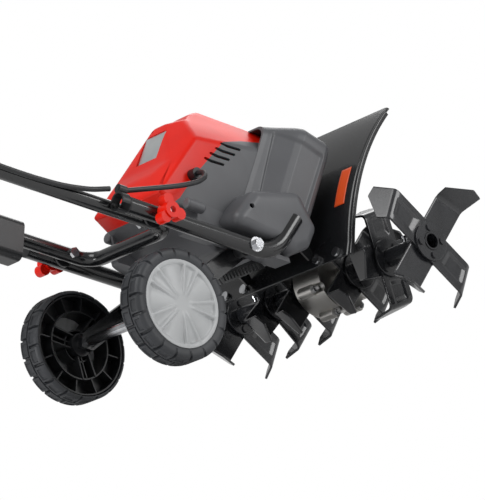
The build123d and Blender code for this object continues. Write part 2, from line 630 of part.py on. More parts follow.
switch_room = head_plane * Pos(0, 12, -24) * Box(70, 32, 18)
button_way = head_plane * Pos(16, 6, 22) * Cylinder(8.05, 26)
bail_pivot = (cx + 23.1, cz - 15.6)
bail_bar = (cx + 36.7, cz + 20.8)
switch_box -= rod_y(bow_radius, -60, 60, cx, cz) + switch_room
switch_box -= button_way + rod_y(4.0 + run_gap, -60, 60, *bail_pivot)
nodes["switch_module"] = head_plane * Pos(0, 12, -24) * Box(50, 24, 14)
nodes["lock_button"] = head_plane * Pos(16, 6, 24) * Cylinder(8.0, 19)
bail = rod_y(4.0, -box_half - 4.6, box_half + 4.6, *bail_pivot)
for _, side in LEFT_AND_RIGHT:
    lean = math.degrees(math.atan2(bail_bar[1] - bail_pivot[1], bail_bar[0] - bail_pivot[0]))
    corners = [along(bail_pivot, lean + turn, 6) for turn in (90, 135, 180, 225, 270)]
    corners += [along(bail_bar, lean + turn, 4.5) for turn in (-90, -30, 30, 90)]
    bail += side_plate(corners, side * (box_half + 0.6), side * (box_half + 4.6))
    bail += rod_y(4.5, side * (box_half + 2), side * grip_end, *bail_bar)
nodes["bail_lever"] = bail

# ---------------------------------------------------------------- motor cable

def beside_leg(distance, y, lift):
    """Point this far up the handle line from the pivot, lifted square to it."""
    turn = math.radians(tube_slope)
    return (px - distance * math.cos(turn) + lift * math.sin(turn), y,
            pz + distance * math.sin(turn) + lift * math.cos(turn))


def beside_upper(distance, y, lift):
    """Point this far up the upper handle, lifted square to it on its front."""
    turn = math.radians(upper_slope)
    return (jx - distance * math.cos(turn) + lift * math.sin(turn), y,
            jz + distance * math.sin(turn) + lift * math.cos(turn))


def cable_tube(points):
    """Cable along straight runs, each corner rounded as far as its shorter run allows."""
    radii = []
    for before, here, after in zip(points, points[1:], points[2:]):
        first, second = Vector(*here) - Vector(*before), Vector(*after) - Vector(*here)
        half_turn = math.radians(first.get_angle(second)) / 2
        radii.append(0.45 * min(first.length, second.length) / math.tan(half_turn))
    print("cable radii", [round(radius) for radius in radii])
    path = FilletPolyline(points, radius=radii)
    section = Plane(origin=path @ 0, z_dir=path % 0)
    tube = sweep(section * Circle(cable_radius), path=path)
    print("cable volume over section times length",
          round(tube.volume / (math.pi * cable_radius ** 2 * path.length), 4))
    return tube


gland_at = (113.8, -housing_half, 219.0)
cable_lower_route = [(113.8, -75.0, 219.0), (113.4, -86.0, 217.0), (106.0, -94.0, 209.5),
                     (90.0, -97.5, 204.6), (64.0, -98.5, 203.4), (34.0, -98.0, 205.0),
                     (4.0, -97.3, 207.2), (-22.0, -97.0, 208.9), beside_leg(61, -97.0, 15.8)]
cable_middle_route = [beside_leg(69, -93.5, 14.0), beside_leg(92, -89.2, 7.5),
                      beside_leg(130, -87.6, 1.5), beside_leg(185, -87.5, -1.0),
                      beside_leg(240, -87.6, 0.5), beside_leg(290, -87.0, 6.0),
                      beside_leg(330, -80.5, 12.4), beside_leg(384, -75.0, 12.9)]
cable_upper_route = [beside_upper(12, -88.5, 13.5), beside_upper(52, -94.0, 12.5),
                     beside_upper(95, -98.5, 12.6), beside_upper(165, -125.0, 12.6),
                     beside_upper(225, -146.0, 12.7), beside_upper(285, -150.0, 12.9),
                     beside_upper(340, -127.0, 13.2), beside_upper(385, -85.0, 13.0),
                     beside_upper(415, -48.0, 12.7), beside_upper(438, -30.0, 12.6)]
nodes["motor_cable_lower"] = cable_tube(cable_lower_route)
nodes["motor_cable_middle"] = cable_tube(cable_middle_route)
nodes["motor_cable_upper"] = cable_tube(cable_upper_route)
gland_plane = Plane(origin=(gland_at[0], -housing_half, gland_at[2]), z_dir=(0, -1, 0))
gland = gland_plane * Cylinder(7.0, 11.0, align=(Align.CENTER, Align.CENTER, Align.MIN))
relief_at = beside_upper(438, -30.0, 12.6)
relief_plane = Plane(origin=relief_at, z_dir=(rise[0], 0, rise[1]))
relief = relief_plane * Cylinder(5.5, 14.8, align=(Align.CENTER, Align.CENTER, Align.MIN))
nodes["switch_box"] = group(switch_box, relief)
clip_plane = Plane(origin=beside_leg(55, -frame_tube_y, 0), x_dir=(0, 1, 0),
                   z_dir=(tube_dir[0], 0, tube_dir[1]))
cable_clip = clip_plane * (Cylinder(12.0, 11) - Cylinder(9.6, 12))
cable_clip += clip_plane * Pos(0, -15.8, 0) * (Cylinder(5.6, 11) - Cylinder(3.1, 12))
cable_clip -= clip_plane * Rot(0, 0, 50) * Pos(0, 11, 0) * Box(9, 12, 12)
nodes["cable_gland_and_clip"] = group(
    gland, max(cable_clip.solids(), key=lambda solid: solid.volume))

# ---------------------------------------------------------------- origin and files
whole_box = None
for shape in nodes.values():
    box = shape.bounding_box()
    whole_box = box if whole_box is None else whole_box.add(box)
origin_shift = (-(whole_box.min.X + whole_box.max.X) / 2,
                -(whole_box.min.Y + whole_box.max.Y) / 2, -whole_box.min.Z)
print(len(nodes), "nodes, box", whole_box, "shift", origin_shift)
if __name__ == "__main__":
    for node_name, node_shape in nodes.items():
        save(node_name, node_shape)
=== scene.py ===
# %% [markdown]
# # An electric garden tiller
# The CAD frame gives every tube, shaft and joint its place. This notebook gives the machine its skin:
# finishes for every tube, shaft and bolt, and new moulded covers, chunky tyres, pressed tines and a
# guard. Each new piece is a surface worked out with numpy from a few sizes, so a reader can change one
# number and see the whole piece follow.

# %% Load the frame
import json
import math

import bmesh
import bpy
import numpy as np
from mathutils import Matrix, Vector


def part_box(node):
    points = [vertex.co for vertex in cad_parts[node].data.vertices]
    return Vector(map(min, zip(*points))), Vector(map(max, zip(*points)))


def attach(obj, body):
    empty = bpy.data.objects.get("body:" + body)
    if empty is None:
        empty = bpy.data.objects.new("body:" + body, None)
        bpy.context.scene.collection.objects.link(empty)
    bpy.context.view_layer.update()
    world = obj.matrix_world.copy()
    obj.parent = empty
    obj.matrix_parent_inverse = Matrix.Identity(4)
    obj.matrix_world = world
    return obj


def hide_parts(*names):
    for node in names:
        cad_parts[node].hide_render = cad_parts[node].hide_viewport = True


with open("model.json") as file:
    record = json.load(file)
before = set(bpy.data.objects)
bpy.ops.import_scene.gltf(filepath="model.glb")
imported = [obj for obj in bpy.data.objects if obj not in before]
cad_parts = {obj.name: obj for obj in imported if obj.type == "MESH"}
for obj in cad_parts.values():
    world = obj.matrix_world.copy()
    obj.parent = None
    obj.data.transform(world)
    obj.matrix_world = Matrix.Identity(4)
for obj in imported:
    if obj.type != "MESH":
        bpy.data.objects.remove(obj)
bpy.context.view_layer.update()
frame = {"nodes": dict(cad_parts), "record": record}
print("frame loaded:", len(frame["nodes"]), "nodes")

# %% [markdown]
# Places come from the frame. The wheel axle and the tine shaft are the two axes that everything else is
# measured from, so they are read once from the boxes of the axle and of the tine shaft.

# %% The two main axes and the drive's slope
MM = 0.001
AXLE_HEIGHT = 67.0


def centre(node):
    """Middle of a node's box, in metres."""
    low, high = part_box(node)
    return (np.array(low) + np.array(high)) / 2


axle = centre("axle_and_clips")
tine_axis = centre("tine_shaft")
ground = axle[2] - AXLE_HEIGHT * MM


def place(points):
    """Millimetres from the axle's foot on the ground (X forward, Y left, Z up) to metres in the frame."""
    points = np.asarray(points, float)
    return points * MM + np.array([axle[0], 0.0, ground])


TINE_X = (tine_axis[0] - axle[0]) / MM
TINE_Z = (tine_axis[2] - ground) / MM
DRIVE_SLOPE, TUBE_SLOPE = math.radians(40), math.radians(24)
GEAR_X, GEAR_Z = 253.0, 194.0
print("tine axis is", round(TINE_X, 1), "mm ahead of the axle and", round(TINE_Z, 1), "mm up")


def drive_xz(s, t):
    """X, Z of a point s along the sloped drive and t square to it, up and forward."""
    s, t = np.asarray(s, float), np.asarray(t, float)
    x = GEAR_X + s * math.cos(DRIVE_SLOPE) + t * math.sin(DRIVE_SLOPE)
    z = GEAR_Z - s * math.sin(DRIVE_SLOPE) + t * math.cos(DRIVE_SLOPE)
    return x, z


# %% [markdown]
# ## Small tools
# A mesh comes from arrays of points and faces. A grid of points gives its own faces, and a grid that
# comes back to its start in one direction is closed there. Sharp edges are kept by an angle limit.

# %% Mesh helpers
def new_piece(name, verts, faces, body, material, smooth_angle=35.0):
    """Makes a mesh object from points in millimetres and lists of corners, and lets it ride on a body."""
    mesh = bpy.data.meshes.new(name)
    mesh.from_pydata(place(verts).tolist(), [], [list(map(int, face)) for face in faces])
    mesh.validate()
    piece = bpy.data.objects.new(name, mesh)
    bpy.context.scene.collection.objects.link(piece)
    mesh.materials.append(material)
    shade(piece, smooth_angle)
    if body is not None:
        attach(piece, body)
    return piece


def shade(piece, angle):
    """Smooth shading that stays sharp where two faces meet at more than an angle, in degrees."""
    mesh = piece.data
    mesh.polygons.foreach_set("use_smooth", np.ones(len(mesh.polygons), bool))
    mesh.set_sharp_from_angle(angle=math.radians(angle))


def grid_faces(rows, columns, close_rows=False, close_columns=False):
    """Four-cornered faces of a grid of points, row by row; a closed direction joins its end to its start."""
    i = np.arange(rows if close_rows else rows - 1)
    j = np.arange(columns if close_columns else columns - 1)
    i, j = np.meshgrid(i, j, indexing="ij")
    i2, j2 = (i + 1) % rows, (j + 1) % columns
    quads = np.stack([i * columns + j, i * columns + j2, i2 * columns + j2, i2 * columns + j], -1)
    return quads.reshape(-1, 4).tolist()


def loft(layers):
    """Closed outlines of equal length, one after another, as points and faces with both ends closed."""
    rows, count = len(layers), len(layers[0])
    last = (rows - 1) * count
    faces = grid_faces(rows, count, False, True)
    faces += [list(range(count))[::-1], list(range(last, last + count))]
    return np.concatenate(layers), faces


def join(parts):
    """Joins (points, faces) pairs into one pair."""
    verts, faces, count = [], [], 0
    for points, quads in parts:
        points = np.asarray(points, float).reshape(-1, 3)
        verts.append(points)
        faces += [[corner + count for corner in quad] for quad in quads]
        count += len(points)
    return np.concatenate(verts), faces


def outward(piece, angle=35):
    """Merges doubled points and turns every face outwards."""
    work = bmesh.new()
    work.from_mesh(piece.data)
    bmesh.ops.remove_doubles(work, verts=work.verts, dist=1e-5)
    bmesh.ops.recalc_face_normals(work, faces=work.faces)
    work.to_mesh(piece.data)
    work.free()
    shade(piece, angle)
    return piece


def bevel(piece, width, segments=2, angle=40):
    """Rounds the sharp edges by a width in millimetres."""
    modifier = piece.modifiers.new("edge", "BEVEL")
    modifier.width = width * MM
    modifier.segments = segments
    modifier.limit_method = "ANGLE"
    modifier.angle_limit = math.radians(angle)
    modifier.harden_normals = False
    return piece


def solidify(piece, thickness, offset=-1.0):
    """Gives a sheet its thickness in millimetres; offset -1 keeps the outer face where it is."""
    modifier = piece.modifiers.new("sheet", "SOLIDIFY")
    modifier.thickness = thickness * MM
    modifier.offset = offset
    return piece


# %% [markdown]
# ## Materials
# A material is a Principled shader with noise on its colour, roughness and bump. Colours are written as
# the sRGB hex values that a paint card would give, and one function turns them to linear light.

# %% Colour and node helpers
def linear(hex_colour):
    """sRGB hex to a linear colour with alpha: the usual 2.4 power curve with a straight foot."""
    channels = [int(hex_colour[i:i + 2], 16) / 255 for i in (1, 3, 5)]
    return tuple(c / 12.92 if c <= 0.04045 else ((c + 0.055) / 1.055) ** 2.4 for c in channels) + (1.0,)


def add_node(tree, kind, links=None, **settings):
    """Adds a node; settings are its attributes or sockets, links join its inputs to other outputs."""
    node = tree.nodes.new(kind)
    for key, value in settings.items():
        if hasattr(node, key):
            setattr(node, key, value)
        else:
            node.inputs[key.replace("_", " ")].default_value = value
    for key, output in (links or {}).items():
        tree.links.new(output, node.inputs[key])
    return node


def base_material(name):
    """A new node material with its Principled shader."""
    material = bpy.data.materials.new(name)
    material.use_nodes = True
    return material, material.node_tree, material.node_tree.nodes["Principled BSDF"]


def finish(name, colour, second, grain_mm, roughness, spread=0.06, bump=0.1, depth_mm=0.05,
           metallic=0.0, coat=0.0, coat_roughness=0.1, ior=1.5, specular=0.5, streak=(1, 1, 1), cloud_mm=60):
    """Two noises: a broad one moves the colour a little, a fine one gives roughness and bump."""
    material, tree, shader = base_material(name)
    where = add_node(tree, "ShaderNodeTexCoord").outputs["Object"]
    stretched = add_node(tree, "ShaderNodeMapping", {"Vector": where}, Scale=streak).outputs["Vector"]
    cloud = add_node(tree, "ShaderNodeTexNoise", {"Vector": where}, Scale=1000 / cloud_mm, Detail=3.0)
    grain = add_node(tree, "ShaderNodeTexNoise", {"Vector": stretched}, Scale=1000 / grain_mm, Detail=4.0)
    ramp = add_node(tree, "ShaderNodeValToRGB", {"Fac": cloud.outputs["Fac"]})
    ramp.color_ramp.elements[0].position, ramp.color_ramp.elements[1].position = 0.35, 0.65
    ramp.color_ramp.elements[0].color, ramp.color_ramp.elements[1].color = linear(second), linear(colour)
    tree.links.new(ramp.outputs["Color"], shader.inputs["Base Color"])
    rough = add_node(tree, "ShaderNodeMapRange", {"Value": grain.outputs["Fac"]})
    rough.inputs["To Min"].default_value = max(0.02, roughness - spread)
    rough.inputs["To Max"].default_value = roughness + spread
    tree.links.new(rough.outputs["Result"], shader.inputs["Roughness"])
    relief = add_node(tree, "ShaderNodeBump", {"Height": grain.outputs["Fac"]}, Strength=bump,
                      Distance=depth_mm * MM)
    tree.links.new(relief.outputs["Normal"], shader.inputs["Normal"])
    shader.inputs["Metallic"].default_value = metallic
    shader.inputs["Coat Weight"].default_value = coat
    shader.inputs["Coat Roughness"].default_value = coat_roughness
    if not metallic:
        shader.inputs["IOR"].default_value = ior
        shader.inputs["Specular IOR Level"].default_value = specular
    return material


# %% [markdown]
# The finishes on the machine: powder-coated tube is black and glossy with a faint orange peel; the
# tines are dipped in dark paint; the covers are moulded ABS with a fine spark-eroded grain; the tyres
# are hard moulded plastic; the gear case is die-cast aluminium; the bolts are bright zinc.

# %% Finishes
powder_black = finish("powder_coat_black", "#17181A", "#101113", 2.5, 0.22, bump=0.12, coat=0.5)
tine_paint = finish("dipped_tine_paint", "#2A2B2E", "#1B1C1F", 3.0, 0.22, bump=0.15, coat=0.45, cloud_mm=35)
red_abs = finish("moulded_red_abs", "#E61C04", "#DA1602", 0.9, 0.36, bump=0.12, specular=0.3)
grey_abs = finish("moulded_grey_abs", "#5C5D60", "#555659", 0.8, 0.42, bump=0.2)
# This dark colour is the real black plastic of the frame's parts. On the wheel cores it is painted shade
# inside the grey wheel moulding.
black_abs_and_core_shade = finish("moulded_black_abs_and_core_shade", "#1D1E20", "#161719", 0.9, 0.36, bump=0.18)
guard_pp = finish("gloss_black_guard", "#1A1B1D", "#141517", 2.0, 0.25, bump=0.06, coat=0.3)
hubcap_pp = finish("moulded_light_grey", "#B4B6B7", "#ABADAE", 0.9, 0.38, bump=0.12)
tyre_pp = finish("moulded_tyre", "#34363A", "#2B2D30", 0.8, 0.5, bump=0.25)
cast_alloy = finish("die_cast_aluminium", "#D2D0CC", "#BEBCB8", 0.7, 0.34, bump=0.3, metallic=1.0)
zinc = finish("bright_zinc_plate", "#DADBDD", "#C4C6CA", 1.5, 0.16, bump=0.08, metallic=1.0, cloud_mm=8)
ground_steel = finish("ground_steel", "#A9ABAE", "#989A9E", 0.5, 0.28, metallic=1.0, streak=(1, 12, 1))
bronze = finish("turned_bronze", "#B08B4F", "#9C7A43", 0.5, 0.3, metallic=1.0, streak=(1, 10, 1))
cable_pvc = finish("extruded_cable_sheath", "#232426", "#1C1D1F", 1.2, 0.38, bump=0.1)
foam = finish("closed_cell_foam", "#232325", "#1A1A1C", 0.7, 0.85, bump=0.6, depth_mm=0.2, specular=0.2)
silver_plate = finish("satin_silver_plate", "#C9CCCC", "#B4B8B9", 0.6, 0.35, metallic=0.6, streak=(1, 14, 1))
orange_film = finish("orange_vinyl_film", "#E8581F", "#E0501A", 1.5, 0.4, bump=0.04)
slot_black = finish("unlit_recess_black", "#0B0B0C", "#080809", 1.0, 0.6)

SLOT_FINISH = {
    "black_tube": powder_black, "tine_paint": tine_paint, "red_plastic": red_abs,
    "grey_plastic": grey_abs, "black_plastic": black_abs_and_core_shade, "light_grey_plastic": hubcap_pp,
    "tyre": tyre_pp, "cast_aluminium": cast_alloy, "zinc_steel": zinc, "machined_steel": ground_steel,
    "bronze": bronze, "cable_rubber": cable_pvc, "foam": foam, "silver_plate": silver_plate,
}
slot_of = {part["node"]: part["material_slot"] for part in frame["record"]["subparts"]}
for node, cad_piece in frame["nodes"].items():
    cad_piece.data.materials.clear()
    cad_piece.data.materials.append(SLOT_FINISH[slot_of[node]])
print(len(SLOT_FINISH), "finishes on", len(frame["nodes"]), "frame nodes")

# %% [markdown]
# ## Wheels
# A tiller's transport wheel is one hollow moulding: a tread shell, an inner ring, thin ribs between them
# and three double spokes to the hub. The tread is a surface of revolution whose radius follows a
# pattern of blocks, so a grid in angle and across the width gives every block, gap and pocket.

# %% Rings, prisms and boxes as points and faces
AXLE_XZ = (0.0, AXLE_HEIGHT)


def turned(profile, segments=96, centre_xz=AXLE_XZ, closed=True):
    """Turns a profile of (radius, y) points about the wheel's axis; a closed profile makes a ring."""
    profile = np.asarray(profile, float)
    angle = np.linspace(0, 2 * np.pi, segments, endpoint=False)[:, None]
    x = centre_xz[0] + profile[:, 0] * np.cos(angle)
    z = centre_xz[1] + profile[:, 0] * np.sin(angle)
    y = np.broadcast_to(profile[:, 1], x.shape)
    return np.stack([x, y, z], -1).reshape(-1, 3), grid_faces(segments, len(profile), True, closed)


def ring(outer, inner, y0, y1, segments=96, centre_xz=AXLE_XZ):
    """Square-edged ring along Y."""
    return turned([(outer, y0), (outer, y1), (inner, y1), (inner, y0)], segments, centre_xz)


def prism(outline, y0, y1):
    """Outline of X, Z points pushed along Y, with both ends closed by one face each."""
    outline = np.asarray(outline, float)
    count = len(outline)
    layers = [np.insert(outline, 1, y, axis=1) for y in (y0, y1)]
    faces = grid_faces(2, count, False, True)
    faces += [list(range(count)), list(range(count, 2 * count))[::-1]]
    return np.concatenate(layers), faces


def bar(start, end, width, y0, y1):
    """Flat bar between two X, Z points, this wide, from y0 to y1."""
    start, end = np.asarray(start, float), np.asarray(end, float)
    side = (end - start) / np.linalg.norm(end - start)
    side = np.array([-side[1], side[0]]) * width / 2
    return prism([start + side, end + side, end - side, start - side], y0, y1)


def round_spot(radius, angle_deg, centre_xz=AXLE_XZ):
    """X, Z of a point on a circle."""
    turn = math.radians(angle_deg)
    return (centre_xz[0] + radius * math.cos(turn), centre_xz[1] + radius * math.sin(turn))


# %% Tyres
BLOCKS, CELLS = 18, 24
GAP_DEPTH, POCKET = 3.4, 1.4


def tyre_surface(side):
    """Tread blocks in two rows half a block apart.

    Across: from the hubcap's edge over the outer wall, the shoulder, the tread and the inner wall.
    Around: each block has a gap at one end and a shallow pocket in its middle.
    """
    across = [(53.0, 111.6, 0), (56.0, 112.8, 0), (60.5, 113.0, 1), (63.0, 112.6, 1), (65.6, 110.6, 1),
              (66.6, 108.6, 1), (66.8, 107.8, 2), (66.8, 100.2, 2), (66.8, 99.4, 1), (66.8, 97.6, 1),
              (65.2, 97.2, 5), (65.2, 95.6, 5), (66.8, 95.2, 3), (66.8, 93.6, 3), (66.8, 92.8, 4),
              (66.8, 84.6, 4), (66.8, 83.8, 3), (66.4, 82.0, 3), (65.0, 80.0, 3), (63.6, 79.0, 6),
              (62.6, 79.0, 6), (60.8, 100.0, 6), (53.0, 100.0, 6)]
    radius = np.array([point[0] for point in across])
    y = np.array([point[1] for point in across])
    kind = np.array([point[2] for point in across])
    steps = BLOCKS * CELLS
    cell = np.arange(steps)[:, None]
    front, rear = cell % CELLS, (cell + CELLS // 2) % CELLS
    drop = np.zeros((steps, len(across)))
    for row, kinds in ((front, (1, 2)), (rear, (3, 4))):
        gap = (row < 3) & np.isin(kind, kinds)
        pocket = (row > 6) & (row < 21) & (kind == kinds[1])
        drop = drop + GAP_DEPTH * gap + POCKET * pocket
    angle = cell * 2 * np.pi / steps
    r = radius - np.minimum(drop, GAP_DEPTH)
    wall = (front < 2) & (kind == 1) & (y > 112)
    width = y - 0.8 * wall
    points = np.stack([r * np.cos(angle), np.broadcast_to(side * width, r.shape),
                       AXLE_HEIGHT + r * np.sin(angle)], -1)
    return points.reshape(-1, 3), grid_faces(steps, len(across), True, True)


for side_name, side in (("left", 1), ("right", -1)):
    tyre = new_piece(f"tyre_tread_{side_name}", *tyre_surface(side), f"wheel_{side_name}", tyre_pp, 28)
    outward(tyre)
    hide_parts(f"tyre_{side_name}")
    print(tyre.name, len(tyre.data.polygons), "faces")

# %% Wheel cores
RIBS, RING_RADIUS, SPOKE_GAP = 12, 42.0, 19.0


def wheel_core(side):
    """Hub, three double spokes, inner ring, outer ring, a web between the rings and thin ribs on it."""
    def y(value):
        return side * value

    parts = [ring(61.0, 59.2, y(80.5), y(100)), ring(RING_RADIUS, RING_RADIUS - 1.8, y(82), y(108)),
             ring(59.6, RING_RADIUS - 1, y(99), y(101)), ring(52.4, 50.6, y(101), y(108)),
             ring(14.0, 6.06, y(79.2), y(105)), ring(20.0, 18.4, y(86), y(104))]
    for rib in range(RIBS):
        angle = 360 / RIBS * rib + 6
        parts.append(bar(round_spot(RING_RADIUS - 0.5, angle), round_spot(59.8, angle), 1.6, y(84), y(100)))
    for spoke in range(3):
        angle = 120 * spoke + 30
        lean = np.array(round_spot(1, angle + 90, (0, 0))) * SPOKE_GAP / 2
        for edge in (-1, 1):
            root = np.array(round_spot(12.2, angle)) + edge * lean * 0.85
            tip = np.array(round_spot(RING_RADIUS - 1.2, angle)) + edge * lean
            parts.append(bar(root, tip, 1.8, y(81), y(104)))
        parts.append(bar(round_spot(13.0, angle), round_spot(RING_RADIUS - 1, angle), SPOKE_GAP,
                         y(96), y(98)))
        parts.append(bar(round_spot(13.0, angle), round_spot(RING_RADIUS - 1, angle), 1.6, y(86), y(97)))
    return join(parts)


# The wheel is one moulding in the tread's grey. The cores are drawn in darker black plastic as painted shade
# inside the wheel.
for side_name, side in (("left", 1), ("right", -1)):
    core = new_piece(f"wheel_core_{side_name}", *wheel_core(side), f"wheel_{side_name}", black_abs_and_core_shade, 30)
    outward(core)
    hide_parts(f"wheel_rim_{side_name}")
print("wheel cores with", RIBS, "ribs")

# %% [markdown]
# The hubcap is a thin dish with five pairs of raised blades. Its face is a height over a polar grid:
# each blade is a narrow hump of constant width, the notch inside a pair and the pads beside it fall
# away towards the rim, and a plain lip closes the edge.

# %% Hubcaps
def hubcap_height(radius, angle):
    """Height of the face over its rim plane, in millimetres."""
    pair = np.radians(72.0)
    local = (angle + np.radians(54.0)) % pair - pair / 2
    arc = np.abs(local) * radius
    spread = np.radians(11.5) * radius
    blade = np.exp(-((arc - spread) / 2.3) ** 4)
    depth = np.clip((radius - 13) / 30, 0, 1)
    inside = arc < spread
    notch = -2.6 * depth ** 1.5 * np.clip(1 - (arc / np.maximum(spread, 1e-6)) ** 2, 0, 1)
    beyond = np.clip((arc - spread) / np.maximum((pair / 2) * radius - spread, 1e-6), 0, 1)
    pad = -2.9 * depth * np.exp(-(beyond / 0.45) ** 2) - 0.7 * depth
    field = np.where(inside, notch, pad) * (1 - blade) + 0.9 * blade * np.clip((radius - 9) / 8, 0, 1)
    lip = 1 / (1 + np.exp(-(radius - 47.3) / 0.35))
    return field * (1 - lip) + 0.35 * lip


for side_name, side in (("left", 1), ("right", -1)):
    radii = np.concatenate([[0.05], np.linspace(3, 46, 30), [46.6, 47.2, 47.8, 48.6, 51.4, 52.3, 52.6]])
    turns = np.linspace(0, 2 * np.pi, 240, endpoint=False)[:, None]
    height = hubcap_height(radii[None, :], turns) + 0.6 * (1 - (radii / 52) ** 2)
    y_face = side * (111.9 + height * np.where(radii > 52.5, 0.2, 1.0))
    front = np.stack([radii * np.cos(turns), y_face, AXLE_HEIGHT + radii * np.sin(turns)], -1)
    back_y = np.broadcast_to(side * (109.6 + np.minimum(height, 0)), y_face.shape)
    rear = np.stack([radii * np.cos(turns), back_y, AXLE_HEIGHT + radii * np.sin(turns)], -1)[:, ::-1]
    both = np.concatenate([front, rear], axis=1)
    cap = new_piece(f"hubcap_face_{side_name}", both.reshape(-1, 3),
                    grid_faces(len(turns), both.shape[1], True, True), f"wheel_{side_name}", hubcap_pp, 40)
    outward(cap)
    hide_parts(f"hubcap_{side_name}")
print("hubcaps with", len(radii), "rings of points")


# %% [markdown]
# ## Moulded covers
# The motor housing is an outline in the drive's own slope pushed across the machine. Planes cut its roof
# and its rear quarters, a bevel rounds every edge, and a smaller copy hollows it. The red cover is its
# upper rear part, cut along one line. The arched front cover is a loft of sections that widen towards
# the tines, with two feet over the frame tubes.

# %% Rounded outlines, cutters and holes
NEARLY_STRAIGHT = 1.56


def rounded(outline, radius, steps=7):
    """Outline with every corner replaced by an arc that touches both of its sides."""
    outline = np.asarray(outline, float)
    points = []
    for k, corner in enumerate(outline):
        before, after = outline[k - 1] - corner, outline[(k + 1) % len(outline)] - corner
        reach_before, reach_after = np.linalg.norm(before), np.linalg.norm(after)
        before, after = before / reach_before, after / reach_after
        half = math.acos(np.clip(before @ after, -1, 1)) / 2
        if half > NEARLY_STRAIGHT:
            points.append(corner)
            continue
        cut = min(radius / math.tan(half), 0.45 * reach_before, 0.45 * reach_after)
        r = cut * math.tan(half)
        middle = corner + (before + after) / np.linalg.norm(before + after) * r / math.sin(half)
        first, last = corner + before * cut - middle, corner + after * cut - middle
        turn = math.atan2(first[0] * last[1] - first[1] * last[0], first @ last)
        for step in np.linspace(0, 1, steps):
            c, s = math.cos(turn * step), math.sin(turn * step)
            points.append(middle + [c * first[0] - s * first[1], s * first[0] + c * first[1]])
    return np.array(points)


def inset(outline, distance):
    """Every point moved inwards along the mean of its two edges' normals."""
    ahead = np.roll(outline, -1, 0) - np.roll(outline, 1, 0)
    normal = np.stack([ahead[:, 1], -ahead[:, 0]], 1)
    normal /= np.linalg.norm(normal, axis=1, keepdims=True)
    x, z = outline.T
    twice_area = np.sum(x * np.roll(z, -1) - z * np.roll(x, -1))
    return outline - normal * distance * np.sign(twice_area)


def pillow(outline, low, high, edge, radius, steps=7):
    """Rounded outline from y = low to high, its rims rounded over like a pillow's by the edge radius."""
    outline = rounded(outline, radius)
    theta = np.linspace(math.pi / 2, 0, steps)
    layers = [np.insert(inset(outline, edge * (1 - math.cos(t))), 1, low + edge * (1 - math.sin(t)), axis=1)
              for t in theta]
    layers += [np.insert(inset(outline, edge * (1 - math.cos(t))), 1, high - edge * (1 - math.sin(t)), axis=1)
               for t in theta[::-1]]
    return loft(layers)


def on_drive(points):
    """A list of (s, t) points as X, Z points."""
    s, t = np.asarray(points, float).T
    return np.stack(drive_xz(s, t), 1)


def tool(name, verts, faces):
    """A mesh that only cuts; it is removed after its cuts."""
    piece = new_piece(name, verts, faces, None, slot_black)
    return outward(piece)


def cut(piece, cutter, operation="DIFFERENCE", keep=False):
    """Applies one boolean to a piece now and removes the cutter unless it is kept for another cut."""
    modifier = piece.modifiers.new("cut", "BOOLEAN")
    modifier.object, modifier.operation, modifier.solver = cutter, operation, "EXACT"
    bake(piece)
    if not keep:
        bpy.data.objects.remove(cutter)
    return piece


def bake(piece):
    """Replaces the mesh by the result of its modifiers."""
    graph = bpy.context.evaluated_depsgraph_get()
    mesh = bpy.data.meshes.new_from_object(piece.evaluated_get(graph))
    piece.modifiers.clear()
    old = piece.data
    piece.data = mesh
    bpy.data.meshes.remove(old)
    return piece


def round_edges(piece, width, segments=2, angle=30):
    """Bevels every edge sharper than the angle by exactly the width, and bakes it."""
    bevel(piece, width, segments, angle)
    piece.modifiers["edge"].use_clamp_overlap = False
    bake(piece)
    return outward(piece)


def disc(centre_xyz, axis, radius, length, segments=32):
    """A round bar with its middle at a point and its length along any direction."""
    axis = np.asarray(axis, float) / np.linalg.norm(axis)
    helper = np.array([0, 0, 1.0]) if abs(axis[2]) < 0.9 else np.array([1.0, 0, 0])
    u = np.cross(helper, axis)
    u /= np.linalg.norm(u)
    v = np.cross(axis, u)
    angle = np.linspace(0, 2 * np.pi, segments, endpoint=False)[:, None]
    circle = radius * (np.cos(angle) * u + np.sin(angle) * v)
    return loft([np.asarray(centre_xyz, float) + circle + axis * length * k for k in (-0.5, 0.5)])


# %% Motor housing and the red cover
# Corners of the side outline as (s, t): the rear face carries the window, the ridge rises in front of it.
HOUSING = [(-160, -114), (-161, -84), (-151, -60), (-149, 8), (-132, 18), (-123, 37), (-112, 50), (-20, 62),
           (38, 62), (42, -62), (0, -100), (-60, -140)]
RED_LINE = [(-4, 64), (-22, 47), (-66, 20), (-95, -3), (-118, -64), (-126, -94), (-129, -106), (-140, -126),
            (-220, -126), (-220, 95), (-4, 95)]
HOUSING_HALF = 64.0
WALL, EDGE_RADIUS = 4.6, 5.0
# A point (s, y, t) on each cutting plane, and the plane's outward normal.
ROOF = ((-20, 50, 44), (-0.273, 0.727, 0.630))
REAR_QUARTER = ((-150, 24, -19), (-0.897, 0.370, 0.240))


def from_drive(point):
    """(s, y, t) as X, Y, Z."""
    s, y, t = point
    x, z = drive_xz(s, t)
    return np.array([float(x), y, float(z)])


def slab(name, plane, side, inside=0.0, size=300.0):
    """Block that fills everything outside a plane given by (s, y, t) point and normal, on one side."""
    point, normal = plane
    zero = from_drive((0, 0, 0))
    origin = from_drive((point[0], side * point[1], point[2]))
    n = from_drive((normal[0], side * normal[1], normal[2])) - zero
    n /= np.linalg.norm(n)
    u = np.cross(n, [0.0, 1.0, 0.0])
    u /= np.linalg.norm(u)
    v = np.cross(n, u)
    corners = [origin + n * (k - inside) + size * (a * u + b * v)
               for k in (0.0, 200.0) for a, b in ((-1, -1), (1, -1), (1, 1), (-1, 1))]
    faces = [[3, 2, 1, 0], [4, 5, 6, 7]] + grid_faces(2, 4, False, True)
    return tool(name, corners, faces)


